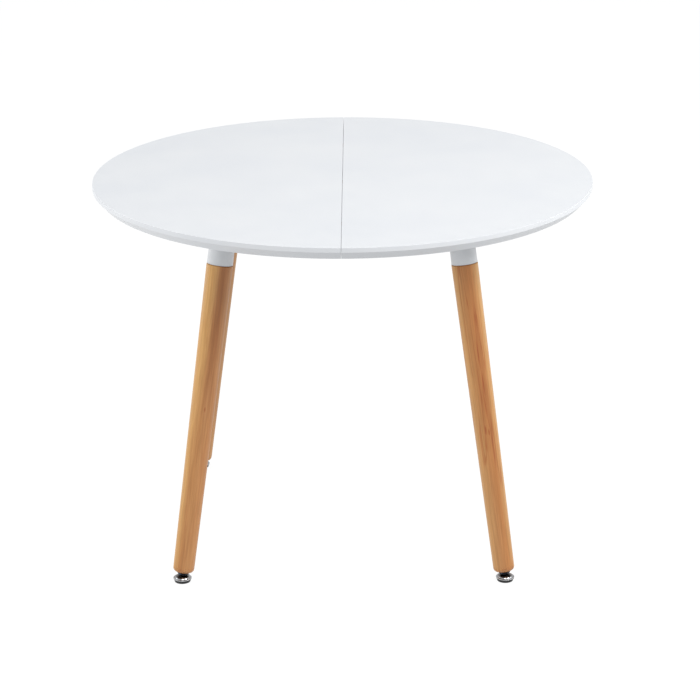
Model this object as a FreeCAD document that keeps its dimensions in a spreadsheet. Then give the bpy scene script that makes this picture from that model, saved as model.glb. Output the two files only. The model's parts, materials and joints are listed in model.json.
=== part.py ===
"""Round extendable dining table, in millimetres.

Two half tops slide apart along X on a welded steel frame that stands on four splayed beech legs.
A folded extension leaf lies in the frame under the top.  The origin is on the floor under the
middle of the closed top, +Z is up, -Y is the front and the seam between the half tops runs along Y.
"""
import FreeCAD, Part
import math
import os
import Sketcher

Vector = FreeCAD.Vector
Rotation = FreeCAD.Rotation
Placement = FreeCAD.Placement

UP = Vector(0, 0, 1)
TINY = 1e-4

LEFT, RIGHT = -1, 1
FRONT, REAR = -1, 1
SIDES = {"left": LEFT, "right": RIGHT}
ENDS = {"front": FRONT, "rear": REAR}

# alias, value, what it measures
DIMENSIONS = [
    ("top_height", 750.0, "floor to the top face"),
    ("top_radius", 500.0, "radius of the closed top"),
    ("top_thick", 25.0, "thickness of the top and of the leaf"),
    ("rim_straight", 9.0, "height of the upright part of the rim"),
    ("rim_inset", 15.0, "how far the bevel under the rim runs in"),
    ("rim_round", 1.0, "rounding of the top edge"),
    ("seam_gap", 0.6, "gap between the closed half tops"),
    ("seam_chamfer", 0.5, "chamfer along the seam"),
    ("leg_x", 224.6, "leg axis from the middle, at the underside of the top"),
    ("leg_y", 213.6, "leg axis from the middle, at the underside of the top"),
    ("splay_x", 0.1341, "sideways run of the leg axis per unit of height"),
    ("splay_y", 0.1245, "front-to-back run of the leg axis per unit of height"),
    ("leg_top_radius", 25.9, "leg radius at the sleeve's mouth"),
    ("leg_foot_radius", 20.9, "leg radius at its lower end"),
    ("leg_foot_round", 8.0, "rounding of the lower end"),
    ("leg_clearance", 20.0, "height of the leg's end above the floor"),
    ("leg_shoulder_chamfer", 0.8, "chamfer of the leg's shoulder"),
    ("tenon_radius", 22.3, "turned end of the leg inside the sleeve"),
    ("tenon_gap", 2.0, "disc in the sleeve to the tenon's end"),
    ("end_chamfer", 1.0, "chamfer of a turned end"),
    ("sleeve_radius", 24.7, "outside of the sleeve at the top"),
    ("sleeve_mouth_radius", 25.4, "outside of the sleeve at its mouth"),
    ("sleeve_bore", 22.5, "inside radius of the sleeve"),
    ("sleeve_length", 90.5, "underside of the top to the sleeve's mouth, along the leg"),
    ("sleeve_disc_depth", 30.0, "underside of the top to the disc in the sleeve, along the leg"),
    ("sleeve_disc_thick", 4.0, "disc that the leg's bolt clamps"),
    ("sleeve_lip", 0.7, "chamfer of the sleeve's mouth"),
    ("shoulder_gap", 1.1, "sleeve's mouth to the leg's shoulder"),
    ("insert_radius", 6.0, "outside of the threaded inserts"),
    ("insert_length", 25.0, "length of the threaded inserts"),
    ("hole_spare", 5.0, "hole in the leg past the end of its insert"),
    ("thread_bore", 4.0, "bore of the threaded inserts"),
    ("thread_radius", 3.93, "radius of the M8 bolts and foot screws"),
    ("bolt_hole", 4.5, "clearance hole for an M8 bolt"),
    ("bolt_length", 30.0, "leg bolt under its head"),
    ("bolt_flats", 13.0, "leg bolt's head across the flats"),
    ("bolt_head", 5.3, "height of the leg bolt's head"),
    ("washer_radius", 8.5, "washer under the leg bolt"),
    ("washer_thick", 1.6, "washer under the leg bolt"),
    ("frame_top", 715.0, "top of the frame tubes above the floor"),
    ("rail_wide", 25.0, "square rail tube"),
    ("rail_inner", 258.0, "inner face of a rail from the middle"),
    ("rail_length", 524.0, "length of a rail"),
    ("tube_wall", 1.5, "wall of the frame tubes"),
    ("beam_wide", 25.0, "width of a cross beam"),
    ("beam_tall", 40.0, "height of a cross beam"),
    ("beam_x", 228.5, "middle of a cross beam"),
    ("beam_reach", 216.0, "half length of a cross beam before it is coped to the sleeves"),
    ("cap_thick", 2.0, "plastic cap on the end of a rail"),
    ("plate_thick", 4.0, "corner plate on the frame"),
    ("plate_inner_x", 203.0, "inner edge of a corner plate"),
    ("plate_inner_y", 190.0, "inner edge of a corner plate"),
    ("plate_hole", 16.0, "hole over the leg's bolt"),
    ("slide_tall", 30.0, "height of a slide channel"),
    ("slide_deep", 12.0, "depth of a slide channel"),
    ("slide_wall", 1.5, "wall of a slide's channel and runner"),
    ("slide_length", 225.0, "length of a slide's channel and runner"),
    ("slide_start", 10.0, "inner end of a slide from the middle"),
    ("runner_tall", 22.0, "height of a slide runner"),
    ("runner_back", 3.0, "rail face to the runner's edge"),
    ("runner_front", 12.6, "rail face to the runner's outer face"),
    ("cage_length", 70.0, "length of a ball cage"),
    ("cage_thick", 0.6, "sheet of a ball cage"),
    ("cage_back", 2.0, "rail face to the back of the ball cage"),
    ("cage_deep", 8.5, "depth of a ball cage"),
    ("ball_radius", 1.2, "balls in the slides"),
    ("ball_pitch", 13.5, "distance between the balls of a cage"),
    ("bracket_wall", 2.5, "angle between a runner and the top"),
    ("bracket_wide", 25.0, "flange of the angle on the top"),
    ("bracket_drop", 35.0, "height of the angle"),
    ("screw_radius", 2.0, "wood screw"),
    ("screw_length", 17.0, "wood screw under its head"),
    ("screw_head_radius", 4.2, "wood screw's pan head"),
    ("screw_head_thick", 2.2, "wood screw's pan head"),
    ("screw_hole", 2.3, "clearance hole for a wood screw"),
    ("screw_pitch", 90.0, "distance between the screws of a bracket"),
    ("screw_line", 15.0, "runner's outer face to the line of the screws"),
    ("leaf_wide", 300.0, "width of the leaf"),
    ("leaf_half", 500.0, "length of one leaf panel"),
    ("leaf_top", 722.0, "top of the folded leaf above the floor"),
    ("leaf_gap", 6.2, "gap between the folded panels"),
    ("leaf_chamfer", 0.7, "chamfer along the leaf's rim"),
    ("bearer_thick", 4.0, "strap under the leaf"),
    ("bearer_wide", 30.0, "strap under the leaf"),
    ("bearer_tall", 35.0, "height of the strap's upturned ends"),
    ("bearer_y", 150.0, "straps from the middle"),
    ("hinge_x", 90.0, "leaf hinges from the middle"),
    ("hinge_length", 50.0, "length of a leaf hinge"),
    ("hinge_leaf", 28.0, "width of one leaf of a hinge"),
    ("hinge_thick", 1.3, "sheet of the hinge"),
    ("knuckle_radius", 2.9, "knuckle of the hinge"),
    ("hinge_pin_radius", 1.2, "pin of the hinge"),
    ("hinge_pin_play", 0.05, "radial clearance of the pin in its knuckles"),
    ("hinge_play", 0.2, "gap between the knuckles, and from them to the panels"),
    ("dowel_radius", 4.0, "alignment dowel"),
    ("dowel_depth", 18.0, "dowel in each half top"),
    ("dowel_clearance", 0.1, "radial clearance of a dowel in its hole"),
    ("dowel_pitch", 300.0, "distance between dowels"),
    ("dowel_spare", 1.0, "dowel hole past the end of its dowel"),
    ("dowel_taper", 3.0, "length of the taper at a dowel's free end"),
    ("lock_y", 390.0, "top locks from the middle"),
    ("lock_pivot_x", 23.0, "lock pivot from the seam"),
    ("lock_pin_x", 22.0, "keeper pin from the seam"),
    ("lock_sheet", 2.0, "lock plate and keeper plate"),
    ("lock_plate_half", 17.0, "half width of the lock and keeper plates"),
    ("lock_plate_edge", 6.0, "edge of the lock and keeper plates from the seam"),
    ("lock_plate_far", 52.0, "far edge of the lock and keeper plates from the seam"),
    ("lock_hole", 3.05, "hole in the hook and the plate for the pivot"),
    ("lock_rivet", 3.0, "pivot rivet's shank"),
    ("lock_rivet_head", 5.5, "pivot rivet's head"),
    ("lock_rivet_head_thick", 2.0, "pivot rivet's head"),
    ("hook_thick", 3.0, "hook of the lock"),
    ("hook_play", 0.5, "hook to its plate, and hook to the rivet's head"),
    ("hook_hub", 11.0, "hub of the hook"),
    ("hook_band", 14.0, "width of the hook's jaw"),
    ("hook_jaw", 38.0, "angle that the jaw covers"),
    ("hook_mouth", 12.0, "angle from the pin to the jaw's open end"),
    ("hook_arm_turn", 16.0, "angle from the pin to the arm that carries the jaw"),
    ("slot_sweep", 60.0, "angle that the jaw's slot is cut through"),
    ("hook_turn", 84.0, "angle from locked to unlocked"),
    ("handle_length", 46.0, "lock's finger lever, from the pivot"),
    ("handle_wide", 15.0, "lock's finger lever"),
    ("keeper_radius", 3.5, "keeper pin"),
    ("keeper_length", 6.0, "keeper pin under its plate"),
    ("keeper_play", 0.4, "clearance of the pin in the hook's slot"),
    ("foot_screw_depth", 22.0, "foot screw in the leg"),
    ("nut_gap", 0.5, "leg's end to the foot screw's hexagon"),
    ("nut_thick", 5.5, "foot screw's hexagon"),
    ("nut_flats", 19.0, "foot screw's hexagon across the flats"),
    ("neck_radius", 3.0, "neck above the ball of the foot screw"),
    ("ball_foot_radius", 4.8, "ball of the foot screw"),
    ("ball_foot_height", 6.2, "centre of the ball above the floor"),
    ("pad_radius", 15.8, "rubber pad"),
    ("pad_thick", 4.5, "rubber pad"),
    ("pad_hole", 5.5, "recess in the pad under the ball"),
    ("dish_base_radius", 15.4, "flat of the dish"),
    ("dish_radius", 18.2, "rim of the dish"),
    ("dish_rim_height", 7.8, "rim of the dish above the floor"),
    ("dish_sheet", 1.5, "sheet of the dish"),
    ("dish_lip", 0.9, "thickness of the dish's turned-up rim"),
    ("dome_radius", 13.2, "dome of the dish at its base"),
    ("dome_top_radius", 10.8, "dome of the dish at its top"),
    ("dome_height", 11.6, "top of the dome above the floor"),
    ("socket_radius", 5.2, "socket for the ball"),
    ("socket_height", 9.0, "underside of the socket's lip above the floor"),
    ("socket_lip", 4.4, "opening of the socket's lip"),
]

document = FreeCAD.newDocument("dining_table")
sheet = document.addObject("Spreadsheet::Sheet", "sizes")
nodes = {}


def fill_sheet():
    """Write the driving dimensions and their aliases."""
    for row, (alias, value, meaning) in enumerate(DIMENSIONS, start=1):
        sheet.set(f"A{row}", meaning)
        sheet.set(f"B{row}", str(value))
        sheet.setAlias(f"B{row}", alias)
    document.recompute()


def size(alias):
    """Value of one driving dimension."""
    return float(sheet.get(alias))


def cells(expression):
    """The same expression with every alias turned into a reference to the sheet."""
    words = []
    word = ""
    for letter in expression + " ":
        if letter.isalnum() or letter in "_.":
            word += letter
            continue
        if word in ALIASES:
            word = "sizes." + word
        words.append(word + letter)
        word = ""
    return "".join(words).strip()


def value(expression):
    """Number that an expression of aliases gives."""
    return float(sheet.evalExpression(cells(expression)))


def bind(thing, **expressions):
    """Bind properties of an object to expressions of the sheet's aliases."""
    for name, expression in expressions.items():
        thing.setExpression(name, cells(expression))


# ---------------------------------------------------------------- sketches and features


def new_body(label):
    """An empty PartDesign body."""
    body = document.addObject("PartDesign::Body", label)
    body.Label = label
    return body


def new_sketch(body, plane):
    """A sketch on one of the body's own origin planes."""
    sketch = body.newObject("Sketcher::SketchObject", "profile")
    support = [part for part in body.Origin.OriginFeatures if part.Role == plane][0]
    sketch.AttachmentSupport = [(support, "")]
    sketch.MapMode = "FlatFace"
    return sketch


def pin_point(sketch, geometry, vertex, across, along):
    """Hold one vertex of the sketch at two expressions."""
    axes = (("DistanceX", across, -2), ("DistanceY", along, -1))
    for kind, expression, axis in axes:
        number = value(expression)
        if abs(number) < TINY:
            sketch.addConstraint(Sketcher.Constraint("PointOnObject", geometry, vertex, axis))
            continue
        constraint = Sketcher.Constraint(kind, -1, 1, geometry, vertex, number)
        index = sketch.addConstraint(constraint)
        sketch.setExpression(f"Constraints[{index}]", cells(expression))


def add_outline(sketch, points):
    """Closed outline of straight lines through points, each a pair of expressions."""
    first = sketch.GeometryCount
    corners = [Vector(value(across), value(along), 0) for across, along in points]
    count = len(points)
    for index, corner in enumerate(corners):
        line = Part.LineSegment(corner, corners[(index + 1) % count])
        sketch.addGeometry(line, False)
    for index, (across, along) in enumerate(points):
        after = first + (index + 1) % count
        sketch.addConstraint(Sketcher.Constraint("Coincident", first + index, 2, after, 1))
        pin_point(sketch, first + index, 1, across, along)


def add_circle(sketch, across, along, radius):
    """Circle at two expressions with a radius given by a third."""
    centre = Vector(value(across), value(along), 0)
    circle = sketch.addGeometry(Part.Circle(centre, UP, value(radius)), False)
    pin_point(sketch, circle, 3, across, along)
    index = sketch.addConstraint(Sketcher.Constraint("Radius", circle, value(radius)))
    sketch.setExpression(f"Constraints[{index}]", cells(radius))


def rectangle(low_across, high_across, low_along, high_along):
    """Corners of an upright rectangle."""
    return [
        (low_across, low_along),
        (high_across, low_along),
        (high_across, high_along),
        (low_across, high_along),
    ]


def turned(label, points):
    """Body turned about Z from an outline of (radius, height) points."""
    body = new_body(label)
    sketch = new_sketch(body, "XZ_Plane")
    add_outline(sketch, points)
    turn = body.newObject("PartDesign::Revolution", "turn")
    turn.Profile = sketch
    turn.ReferenceAxis = (sketch, ["V_Axis"])
    turn.Angle = 360.0
    document.recompute()
    return body


def extruded(label, plane, outlines, length, circles=()):
    """Body padded both ways from a plane, with outlines and round holes in its sketch."""
    body = new_body(label)
    sketch = new_sketch(body, plane)
    for outline in outlines:
        add_outline(sketch, outline)
    for across, along, radius in circles:
        add_circle(sketch, across, along, radius)
    pad = body.newObject("PartDesign::Pad", "pad")
    pad.Profile = sketch
    pad.Midplane = True
    bind(pad, Length=length)
    document.recompute()
    return body


def pocket(body, plane, length, outlines=(), circles=()):
    """Outlines and round holes cut from a body, both ways from one of its origin planes."""
    before = body.Shape.Volume
    sketch = new_sketch(body, plane)
    for outline in outlines:
        add_outline(sketch, outline)
    for across, along, radius in circles:
        add_circle(sketch, across, along, radius)
    cutout = body.newObject("PartDesign::Pocket", "cutout")
    cutout.Profile = sketch
    cutout.Midplane = True
    bind(cutout, Length=length)
    document.recompute()
    if body.Shape.Volume > before - TINY:
        raise RuntimeError(f"a pocket in {body.Label} cuts nothing")


def edges_where(shape, wanted):
    """Names of the edges whose every vertex passes a test."""
    return [
        f"Edge{index}"
        for index, edge in enumerate(shape.Edges, start=1)
        if edge.Vertexes and all(wanted(vertex.Point) for vertex in edge.Vertexes)
    ]


def rounded(body, radius, wanted):
    """Fillet the edges of a body whose vertices pass a test."""
    base = body.Tip
    names = edges_where(body.Shape, wanted)
    fillet = body.newObject("PartDesign::Fillet", "fillet")
    fillet.Base = (base, names)
    bind(fillet, Radius=radius)
    document.recompute()


def solid(kind, label, **expressions):
    """Part primitive whose properties are bound to expressions."""
    part = document.addObject(f"Part::{kind}", label)
    part.Label = label
    bind(part, **expressions)
    document.recompute()
    return part


def cylinder(label, radius, height, base):
    """Cylinder along Z whose lower end is at a height given by an expression."""
    part = solid("Cylinder", label, Radius=radius, Height=height)
    bind(part, **{"Placement.Base.z": base})
    return part


def hexagon(label, flats, height, base):
    """Hexagonal prism along Z, sized across its flats."""
    part = solid("Prism", label, Circumradius=f"({flats}) / sqrt(3)", Height=height)
    part.Polygon = 6
    bind(part, **{"Placement.Base.z": base})
    return part


def fused(label, parts):
    """Parts joined into one."""
    whole = document.addObject("Part::MultiFuse", label)
    whole.Label = label
    whole.Shapes = parts
    whole.Refine = True
    document.recompute()
    return whole


def cut(label, base, tools):
    """A part with tools cut away, one after another."""
    for index, tool in enumerate(tools):
        rest = document.addObject("Part::Cut", f"{label}_cut_{index}")
        rest.Base = base
        rest.Tool = tool
        base = rest
    base.Label = label
    document.recompute()
    return base


def group(label, prototype, placements):
    """Copies of one part at several placements, as separate solids of one node."""
    copies = []
    for index, placement in enumerate(placements):
        copy = document.addObject("App::Link", f"{label}_{index}")
        copy.LinkedObject = prototype
        copy.LinkTransform = False
        copy.Placement = placement
        copies.append(copy)
    whole = document.addObject("Part::Compound", label)
    whole.Links = copies
    document.recompute()
    return keep(label, whole)


def keep(label, part, placement=None):
    """Record a finished sub-part under its node name."""
    part.Label = label
    if placement is not None:
        part.Placement = placement
    nodes[label] = part
    return part


def at(across=0.0, along=0.0, up=0.0, rotation=None):
    """Placement at a point, with an optional rotation."""
    return Placement(Vector(across, along, up), rotation or Rotation())


# ---------------------------------------------------------------- places


def leg_places():
    """Name and signs of each leg."""
    for end, end_sign in ENDS.items():
        for side, side_sign in SIDES.items():
            yield f"{end}_{side}", side_sign, end_sign


def leg_frame(side, end):
    """Placement whose origin is where the leg axis meets the top and whose +Z runs up the leg."""
    start = Vector(side * size("leg_x"), end * size("leg_y"), value("top_height - top_thick"))
    upward = Vector(-side * size("splay_x"), -end * size("splay_y"), 1)
    return Placement(start, Rotation(UP, upward))


def foot_point(side, end):
    """Point on the floor under the ball of a leg's foot screw."""
    fall = value("top_height - top_thick - ball_foot_height")
    across = side * (size("leg_x") + size("splay_x") * fall)
    along = end * (size("leg_y") + size("splay_y") * fall)
    return Vector(across, along, 0)


LEAN = "sqrt(1 + splay_x * splay_x + splay_y * splay_y)"
UNDERSIDE = "(top_height - top_thick)"
LEG_END = f"(({UNDERSIDE} - leg_clearance) * {LEAN})"
BALL_DEPTH = f"(({UNDERSIDE} - ball_foot_height) * {LEAN})"
TENON_TOP = "(sleeve_disc_depth + sleeve_disc_thick + tenon_gap)"
SHOULDER = "(sleeve_length + shoulder_gap)"
RAIL_FACE = "(rail_inner + rail_wide)"
SLIDE_MIDDLE = "(frame_top - rail_wide / 2)"
SLIDE_RACE = "((slide_tall - runner_tall) / 2 - slide_wall)"
ROUND_DROP = "(1 - sqrt(0.5)) * rim_round"


# ---------------------------------------------------------------- top


def half_top(label, hole_radius):
    """Half disc on the +X side, with the rim's bevel and blind dowel holes in the seam face."""
    body = turned(
        label,
        [
            ("0", UNDERSIDE),
            ("top_radius - rim_inset", UNDERSIDE),
            ("top_radius", "top_height - rim_straight"),
            ("top_radius", "top_height - rim_round"),
            (f"top_radius - {ROUND_DROP}", f"top_height - {ROUND_DROP}"),
            ("top_radius - rim_round", "top_height"),
            ("0", "top_height"),
        ],
    )
    beyond = "(top_radius + top_thick)"
    other_half = [
        (f"-{beyond}", f"{UNDERSIDE} - top_thick"),
        ("0", f"{UNDERSIDE} - top_thick"),
        ("0", "top_height - seam_chamfer"),
        ("seam_chamfer", "top_height"),
        ("seam_chamfer", "top_height + top_thick"),
        (f"-{beyond}", "top_height + top_thick"),
    ]
    pocket(body, "XZ_Plane", f"2 * {beyond}", outlines=[other_half])
    middle = "top_height - top_thick / 2"
    holes = [(f"{step} * dowel_pitch", middle, hole_radius) for step in (-1, 0, 1)]
    pocket(body, "YZ_Plane", "2 * (dowel_depth + dowel_spare)", circles=holes)
    return body


def make_tops():
    """Both half tops and the dowels between them."""
    gap = size("seam_gap") / 2
    left = half_top("left_top", "dowel_radius")
    keep("left_top", left, at(-gap, rotation=Rotation(UP, 180)))
    right = half_top("right_top", "dowel_radius + dowel_clearance")
    keep("right_top", right, at(gap))
    dowel = turned(
        "dowel",
        [
            ("0", "-dowel_depth"),
            ("dowel_radius - end_chamfer", "-dowel_depth"),
            ("dowel_radius", "end_chamfer - dowel_depth"),
            ("dowel_radius", "dowel_depth - dowel_taper"),
            ("dowel_radius / 2", "dowel_depth"),
            ("0", "dowel_depth"),
        ],
    )
    height = value("top_height - top_thick / 2")
    lying = Rotation(Vector(0, 1, 0), 90)
    places = [at(-gap, step * size("dowel_pitch"), height, lying) for step in (-1, 0, 1)]
    group("dowels", dowel, places)


# ---------------------------------------------------------------- legs and feet


def make_sleeve(name, side, end):
    """Tapered steel socket for a leg, with an inner disc, cut level with the frame's top."""
    body = turned(
        f"{name}_sleeve_blank",
        [
            ("sleeve_bore", "0"),
            ("sleeve_radius", "0"),
            ("sleeve_mouth_radius", "sleeve_lip - sleeve_length"),
            ("sleeve_mouth_radius - sleeve_lip", "-sleeve_length"),
            ("sleeve_bore", "-sleeve_length"),
            ("sleeve_bore", "-sleeve_disc_depth - sleeve_disc_thick"),
            ("bolt_hole", "-sleeve_disc_depth - sleeve_disc_thick"),
            ("bolt_hole", "-sleeve_disc_depth"),
            ("sleeve_bore", "-sleeve_disc_depth"),
        ],
    )
    body.Placement = leg_frame(side, end)
    half = 2 * size("sleeve_mouth_radius")
    wide = "4 * sleeve_mouth_radius"
    block = solid("Box", f"{name}_trim", Length=wide, Width=wide, Height="top_thick")
    block.Placement = at(side * size("leg_x") - half, end * size("leg_y") - half, size("frame_top"))
    keep(f"{name}_sleeve", cut(f"{name}_sleeve", body, [block]))


def make_leg(name, side, end):
    """Turned beech leg: tenon, shoulder, long taper, rounded end and a hole at each end."""
    body = turned(
        f"{name}_leg",
        [
            ("insert_radius", f"-{TENON_TOP}"),
            ("tenon_radius - end_chamfer", f"-{TENON_TOP}"),
            ("tenon_radius", f"-{TENON_TOP} - end_chamfer"),
            ("tenon_radius", f"-{SHOULDER}"),
            ("leg_top_radius - leg_shoulder_chamfer", f"-{SHOULDER}"),
            ("leg_top_radius", f"-{SHOULDER} - leg_shoulder_chamfer"),
            ("leg_foot_radius", f"-{LEG_END}"),
            ("insert_radius", f"-{LEG_END}"),
            ("insert_radius", f"-{LEG_END} + insert_length + hole_spare"),
            ("0", f"-{LEG_END} + insert_length + hole_spare"),
            ("0", f"-{TENON_TOP} - insert_length - hole_spare"),
            ("insert_radius", f"-{TENON_TOP} - insert_length - hole_spare"),
        ],
    )
    low = -value(LEG_END)
    inside = value("(leg_foot_radius + insert_radius) / 2")
    rounded(
        body,
        "leg_foot_round",
        lambda point: abs(point.z - low) < TINY and math.hypot(point.x, point.y) > inside,
    )
    keep(f"{name}_leg", body, leg_frame(side, end))


def make_foot(name, side, end):
    """Screw with a hexagon and a ball end, and the dish and rubber pad that swivel on the ball."""
    nut_base = f"-{LEG_END} - nut_gap - nut_thick"
    stem = cylinder(
        f"{name}_stem", "thread_radius", "foot_screw_depth + nut_gap + nut_thick", nut_base
    )
    nut = hexagon(f"{name}_hexagon", "nut_flats", "nut_thick", nut_base)
    neck = cylinder(
        f"{name}_neck",
        "neck_radius",
        f"{BALL_DEPTH} - {LEG_END} - nut_gap - nut_thick",
        f"-{BALL_DEPTH}",
    )
    ball = solid("Sphere", f"{name}_ball", Radius="ball_foot_radius")
    bind(ball, **{"Placement.Base.z": f"-{BALL_DEPTH}"})
    screw = fused(f"{name}_foot_screw", [stem, nut, neck, ball])
    keep(f"{name}_foot_screw", screw, leg_frame(side, end))
    dish = turned(
        f"{name}_foot_dish",
        [
            ("socket_radius", "pad_thick"),
            ("dish_base_radius", "pad_thick"),
            ("dish_radius", "dish_rim_height"),
            ("dish_radius - dish_lip", "dish_rim_height + dish_lip / 2"),
            ("dish_base_radius - dish_lip", "pad_thick + dish_sheet"),
            ("dome_radius", "pad_thick + dish_sheet"),
            ("dome_top_radius", "dome_height"),
            ("socket_lip", "dome_height"),
            ("socket_lip", "socket_height"),
            ("socket_radius", "socket_height"),
        ],
    )
    keep(f"{name}_foot_dish", dish, Placement(foot_point(side, end), Rotation()))
    pad = turned(
        f"{name}_foot_pad",
        [
            ("pad_hole", "0"),
            ("pad_radius - end_chamfer", "0"),
            ("pad_radius", "end_chamfer"),
            ("dish_base_radius", "pad_thick"),
            ("pad_hole", "pad_thick"),
        ],
    )
    keep(f"{name}_foot_pad", pad, Placement(foot_point(side, end), Rotation()))


def threaded_insert():
    """Flangeless threaded bush, its middle at the local origin."""
    return extruded(
        "insert",
        "XY_Plane",
        [],
        "insert_length",
        circles=[("0", "0", "insert_radius"), ("0", "0", "thread_bore")],
    )


def make_leg_fixings():
    """Inserts at both ends of the legs, and the bolts and washers in the sleeves."""
    frames = [leg_frame(side, end) for _, side, end in leg_places()]
    insert = threaded_insert()
    upper = at(up=-value(TENON_TOP) - size("insert_length") / 2)
    lower = at(up=-value(LEG_END) + size("insert_length") / 2)
    group("leg_inserts", insert, [frame * upper for frame in frames])
    group("foot_inserts", insert, [frame * lower for frame in frames])
    washer = extruded(
        "washer",
        "XY_Plane",
        [],
        "washer_thick",
        circles=[("0", "0", "washer_radius"), ("0", "0", "bolt_hole")],
    )
    seat = at(up=-size("sleeve_disc_depth") + size("washer_thick") / 2)
    group("leg_washers", washer, [frame * seat for frame in frames])
    shank = cylinder("bolt_shank", "thread_radius", "bolt_length", "-bolt_length")
    head = hexagon("bolt_head_blank", "bolt_flats", "bolt_head", "0")
    bolt = fused("leg_bolt", [shank, head])
    under_head = at(up=-size("sleeve_disc_depth") + size("washer_thick"))
    group("leg_bolts", bolt, [frame * under_head for frame in frames])


# ---------------------------------------------------------------- frame


def make_rails():
    """Square tubes along the front and the rear, and the plastic caps in their ends."""
    half = "rail_wide / 2"
    bore = "rail_wide / 2 - tube_wall"
    tube = [
        rectangle(f"-{half}", half, f"-{half}", half),
        rectangle(f"-({bore})", bore, f"-({bore})", bore),
    ]
    middle = value("rail_inner + rail_wide / 2")
    height = value(SLIDE_MIDDLE)
    for end, sign in ENDS.items():
        rail = extruded(f"{end}_rail", "YZ_Plane", tube, "rail_length")
        keep(f"{end}_rail", rail, at(0, sign * middle, height))
    cap = extruded("cap", "YZ_Plane", [rectangle(f"-{half}", half, f"-{half}", half)], "cap_thick")
    reach = value("(rail_length + cap_thick) / 2")
    places = [at(side * reach, end * middle, height) for _, side, end in leg_places()]
    group("rail_caps", cap, places)


def make_cross_beams():
    """Upright tubes from sleeve to sleeve, coped to the sleeves they are welded to."""
    wide = "beam_wide / 2"
    bore = "beam_wide / 2 - tube_wall"
    tall = "beam_tall / 2"
    inside = "beam_tall / 2 - tube_wall"
    tube = [
        rectangle(f"-{wide}", wide, f"-{tall}", tall),
        rectangle(f"-({bore})", bore, f"-({inside})", inside),
    ]
    height = value("frame_top - beam_tall / 2")
    for name, side in SIDES.items():
        beam = extruded(f"{name}_beam_blank", "XZ_Plane", tube, "2 * beam_reach")
        beam.Placement = at(side * size("beam_x"), 0, height)
        copes = []
        for end, end_sign in ENDS.items():
            cope = solid(
                "Cone",
                f"{name}_{end}_cope",
                Radius1="sleeve_mouth_radius",
                Radius2="sleeve_radius",
                Height="sleeve_length",
            )
            cope.Placement = leg_frame(side, end_sign) * at(up=-size("sleeve_length"))
            copes.append(cope)
        keep(f"{name}_cross_beam", cut(f"{name}_cross_beam", beam, copes))


def make_corner_plates():
    """Flat plates that tie each sleeve to its rail and cross beam, open over the leg's bolt."""
    plates = []
    middle = "(frame_top + plate_thick / 2)"
    hole_fall = f"({UNDERSIDE} - {middle})"
    for name, side, end in leg_places():
        outline = rectangle(
            f"{side} * plate_inner_x",
            f"{side} * rail_length / 2",
            f"{end} * plate_inner_y",
            f"{end} * {RAIL_FACE}",
        )
        hole = (
            f"{side} * (leg_x + splay_x * {hole_fall})",
            f"{end} * (leg_y + splay_y * {hole_fall})",
            "plate_hole",
        )
        plate = extruded(f"{name}_plate", "XY_Plane", [outline], "plate_thick", circles=[hole])
        plate.Placement = at(up=value(middle))
        plates.append(plate)
    whole = document.addObject("Part::Compound", "corner_plates")
    whole.Links = plates
    document.recompute()
    keep("corner_plates", whole)


# ---------------------------------------------------------------- slides


def slide_places():
    """Name, signs and placement of each slide: +X runs out from the seam, +Y away from the rail."""
    middle = value("slide_start + slide_length / 2")
    for name, side, end in leg_places():
        turn = Rotation() if end == REAR else Rotation(UP, 180)
        place = at(side * middle, end * value(RAIL_FACE), value(SLIDE_MIDDLE), turn)
        yield name, side, place


def channel_profile(back, front, tall, wall, open_front):
    """Outline of a C section from depth back to depth front, open at one of them."""
    half = f"({tall}) / 2"
    inner = f"({half} - {wall})"
    if open_front:
        web = f"{back} + {wall}"
        return [
            (back, f"-{half}"),
            (front, f"-{half}"),
            (front, f"-{inner}"),
            (web, f"-{inner}"),
            (web, inner),
            (front, inner),
            (front, half),
            (back, half),
        ]
    web = f"{front} - {wall}"
    return [
        (front, f"-{half}"),
        (front, half),
        (back, half),
        (back, inner),
        (web, inner),
        (web, f"-{inner}"),
        (back, f"-{inner}"),
        (back, f"-{half}"),
    ]


def ball_cage():
    """Bent strip with a row of balls above and a row below, centred on its slide."""
    cage_tall = f"(runner_tall + {SLIDE_RACE} + cage_thick)"
    strip = extruded(
        "cage_strip",
        "YZ_Plane",
        [channel_profile("cage_back", "cage_back + cage_deep", cage_tall, "cage_thick", True)],
        "cage_length",
    )
    parts = [strip]
    height = value(f"(runner_tall + {SLIDE_RACE}) / 2")
    depth = value("cage_back + cage_deep - 2 * ball_radius")
    for row in (-1, 1):
        for step in range(-2, 3):
            ball = solid("Sphere", f"ball_{row}_{step}", Radius="ball_radius")
            ball.Placement = at(step * size("ball_pitch"), depth, row * height)
            parts.append(ball)
    return fused("ball_cage", parts)


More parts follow.
